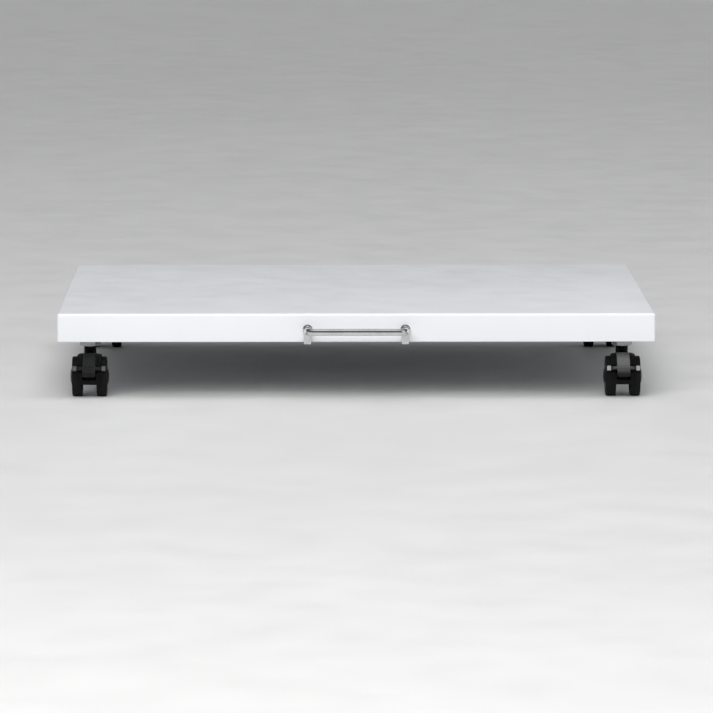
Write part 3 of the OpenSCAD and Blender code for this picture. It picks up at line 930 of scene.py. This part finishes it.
def stem_shape(c):
    """Stud with its thread, a chamfered hexagon and the swivel pin below it, with the clip's groove."""
    low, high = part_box(c.name + "_stem")
    bottom, top = low.z - c.floor, high.z - c.floor
    hex_low = c.neck_top + 0.2 * MM
    hex_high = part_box("stem_washers")[0].z - c.floor
    flats = (high.y - low.y) / 2
    pitch, depth, plain, pin_round, tip_round = 1.25 * MM, 0.55 * MM, 1.2 * MM, 0.6 * MM, 0.8 * MM
    profile = [(0, bottom), (STEM_R - pin_round, bottom), (STEM_R, bottom + pin_round),
               (STEM_R, CLIP_LOW), (CLIP_NECK_R, CLIP_LOW), (CLIP_NECK_R, CLIP_HIGH), (STEM_R, CLIP_HIGH),
               (STEM_R, hex_high + plain)]
    for k in range(int((top - hex_high - 2 * plain) / pitch)):
        z = hex_high + plain + 0.4 * MM + k * pitch
        profile += [(STEM_R, z), (STEM_R - depth, z + pitch / 2)]
    profile += [(STEM_R, top - tip_round), (STEM_R - tip_round, top), (0, top)]
    obj = upright_lathe("stem", profile)
    corner = flats / math.cos(math.pi / 6)
    hexagon = arc((0, 0), corner, 0, 300, 5)
    prism = loft("hex", [[(x, y, z) for x, y in hexagon] for z in (hex_low, hex_high)])
    rim, face = corner + 0.1 * MM, 0.97 * flats
    chamfer = [(0, hex_low), (face, hex_low), (rim, hex_low + MM),
               (rim, hex_high - MM), (face, hex_high), (0, hex_high)]
    combine(prism, [upright_lathe("chamfer", chamfer)], "INTERSECT")
    combine(obj, [prism], "UNION")
    return shade(obj, 20)


def place_caster_piece(c, source, node, mirrored=False, about_axle=False):
    """Copies a shape into the caster's place. A left-hand wheel or cap mirrors the right-hand one."""
    obj = source.copy()
    obj.data = source.data.copy()
    bpy.context.scene.collection.objects.link(obj)
    if mirrored:
        obj.data.transform(Matrix.Scale(-1, 4, (1, 0, 0)))
        obj.data.flip_normals()
    obj.data.transform(c.matrix @ c.axle if about_axle else c.matrix)
    stand_for(obj, node + "_shell", node)


def casters():
    """Builds each shape once and places its copies on the four casters."""
    ending = "_swivel"
    names = sorted(name[:-len(ending)] for name in JOINTS if name.endswith(ending))
    all_casters = [Caster(name) for name in names]
    braked = next(c for c in all_casters if c.braked)
    plain = next(c for c in all_casters if not c.braked)
    first = all_casters[0]
    wheel, cap, stem = wheel_shape(first), hub_cap_shape(first), stem_shape(first)
    braked_frame, plain_frame, lever = frame_shape(braked), frame_shape(plain), lever_shape(braked)
    for c in all_casters:
        place_caster_piece(c, stem, c.name + "_stem")
        place_caster_piece(c, braked_frame if c.braked else plain_frame, c.name + "_caster_frame")
        for side in ("left", "right"):
            flip = c.own_side(side) < 0
            place_caster_piece(c, wheel, f"{c.name}_{side}_wheel", flip, about_axle=True)
            place_caster_piece(c, cap, f"{c.name}_{side}_hub_cap", flip, about_axle=True)
        if c.braked:
            # Each braked lever gets its own mask: a painted highlight on its pads and, on the front right, on its
            # face.
            place_caster_piece(c, painted(lever, lever_wear_and_highlight(c)), c.name + "_brake_lever")
    for source in (wheel, cap, stem, braked_frame, plain_frame, lever):
        bpy.data.objects.remove(source)


# ---------- Floor, light and camera ----------

def floor():
    """A wide pale floor that can be looked through from below."""
    radius, sides, level = 36.0, 96, cad_bounds[0].z
    turns = [math.tau * i / sides for i in range(sides)]
    rim = [(radius * math.cos(t), radius * math.sin(t), level) for t in turns]
    obj = new_object("floor", rim, [tuple(range(sides))])
    if obj.data.polygons[0].normal.z < 0:
        obj.data.flip_normals()
    s = Shader("floor")
    dark, pale = (0.666, 0.665, 0.659, 1), (0.680, 0.679, 0.673, 1)
    tone = s.mix(s.span(s.noise(420, 3), 0.3, 0.7), dark, pale)
    s.bump(s.noise(2.5, 3), 0.05, 0.2)
    s.set(Base_Color=tone, Roughness=s.span(s.noise(60, 3), 0.3, 0.7, 0.42, 0.55))
    geometry = s.tree.nodes.new("ShaderNodeNewGeometry")
    clear = s.tree.nodes.new("ShaderNodeBsdfTransparent")
    switch = s.node("MixShader", Fac=geometry.outputs["Backfacing"])
    s.feed(switch.inputs[1], s.bsdf.outputs["BSDF"])
    s.feed(switch.inputs[2], clear.outputs["BSDF"])
    s.feed(s.tree.nodes["Material Output"].inputs["Surface"], switch.outputs[0])
    obj.data.materials.append(s.material)


def add_light(name, kind):
    """A new light and its object."""
    data = bpy.data.lights.new(name, kind)
    obj = bpy.data.objects.new(name, data)
    bpy.context.scene.collection.objects.link(obj)
    return data, obj


def area_light(name, place, size, power, tint=(1, 1, 1), mirrored=True):
    """A rectangular lamp that looks at the origin; polished metal shows it only if it is mirrored."""
    data, obj = add_light(name, "AREA")
    data.shape = "RECTANGLE"
    data.size, data.size_y = size
    data.energy = power
    data.color = tint
    obj.location = place
    obj.rotation_euler = (-Vector(place)).to_track_quat("-Z", "Y").to_euler()
    obj.visible_glossy = mirrored


def ceiling_light(power, spread, tilt):
    """The even light of a wide ceiling, from above and a little behind the camera. Angles in degrees."""
    data, obj = add_light("ceiling", "SUN")
    data.energy = power
    data.angle = math.radians(spread)
    obj.rotation_euler = (math.radians(tilt), 0, 0)
    obj.visible_glossy = False


def studio_world():
    """Pale walls under a dimmer ceiling, so that polished metal has something to mirror."""
    world = bpy.data.worlds.new("studio")
    world.use_nodes = True
    tree = world.node_tree
    place = tree.nodes.new("ShaderNodeTexCoord")
    split = tree.nodes.new("ShaderNodeSeparateXYZ")
    ramp = tree.nodes.new("ShaderNodeValToRGB")
    background = tree.nodes["Background"]
    tree.links.new(place.outputs["Generated"], split.inputs[0])
    tree.links.new(split.outputs["Z"], ramp.inputs["Fac"])
    tree.links.new(ramp.outputs["Color"], background.inputs["Color"])
    horizon, ceiling = ramp.color_ramp.elements
    walls = ramp.color_ramp.elements.new(0.18)
    horizon.position, horizon.color = 0.0, (0.125, 0.127, 0.132, 1)
    walls.color = (0.22, 0.224, 0.232, 1)
    ceiling.position, ceiling.color = 0.75, (0.13, 0.133, 0.14, 1)
    bpy.context.scene.world = world


def light():
    """Soft lamps in front and above, a weak one at the side and behind, and the pale room round them."""
    area_light("key", place=(-0.7, -3.2, 2.0), size=(2.8, 1.8), power=97, mirrored=False)
    area_light("top", place=(0.2, -0.4, 2.6), size=(1.6, 1.0), power=10, mirrored=False)
    area_light("fill", place=(2.6, -1.2, 1.4), size=(1.6, 1.6), power=9, tint=(0.95, 0.98, 1.0))
    area_light("back", place=(0.4, 2.8, 2.2), size=(2.4, 1.2), power=2.5, tint=(0.95, 0.97, 1.0))
    ceiling_light(power=1.1, spread=50, tilt=32)
    studio_world()
    bpy.context.scene.view_settings.view_transform = "Standard"


def camera():
    """Stands where the photographer stood, a little left of centre and about 6 degrees above the deck."""
    stand_off, rise, left = 5.30, 0.566, 0.047
    deck_share_of_view = 0.84
    low, high = cad_bounds
    deck_low, deck_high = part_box("deck_tray")
    centre = (low + high) / 2
    data = bpy.data.cameras.new("camera")
    obj = bpy.data.objects.new("camera", data)
    bpy.context.scene.collection.objects.link(obj)
    obj.location = (centre.x - left, deck_low.y - stand_off, deck_high.z + rise)
    aim = Vector((centre.x, deck_low.y, centre.z)) - obj.location
    obj.rotation_euler = aim.to_track_quat("-Z", "Y").to_euler()
    data.lens = data.sensor_width * aim.length * deck_share_of_view / (deck_high.x - deck_low.x)
    data.clip_end = 100
    bpy.context.scene.camera = obj


deck()
spot_welds()
handle()
casters()
for node_name, node_object in NODES.items():
    give_material(node_object, node_name)
floor()
light()
camera()
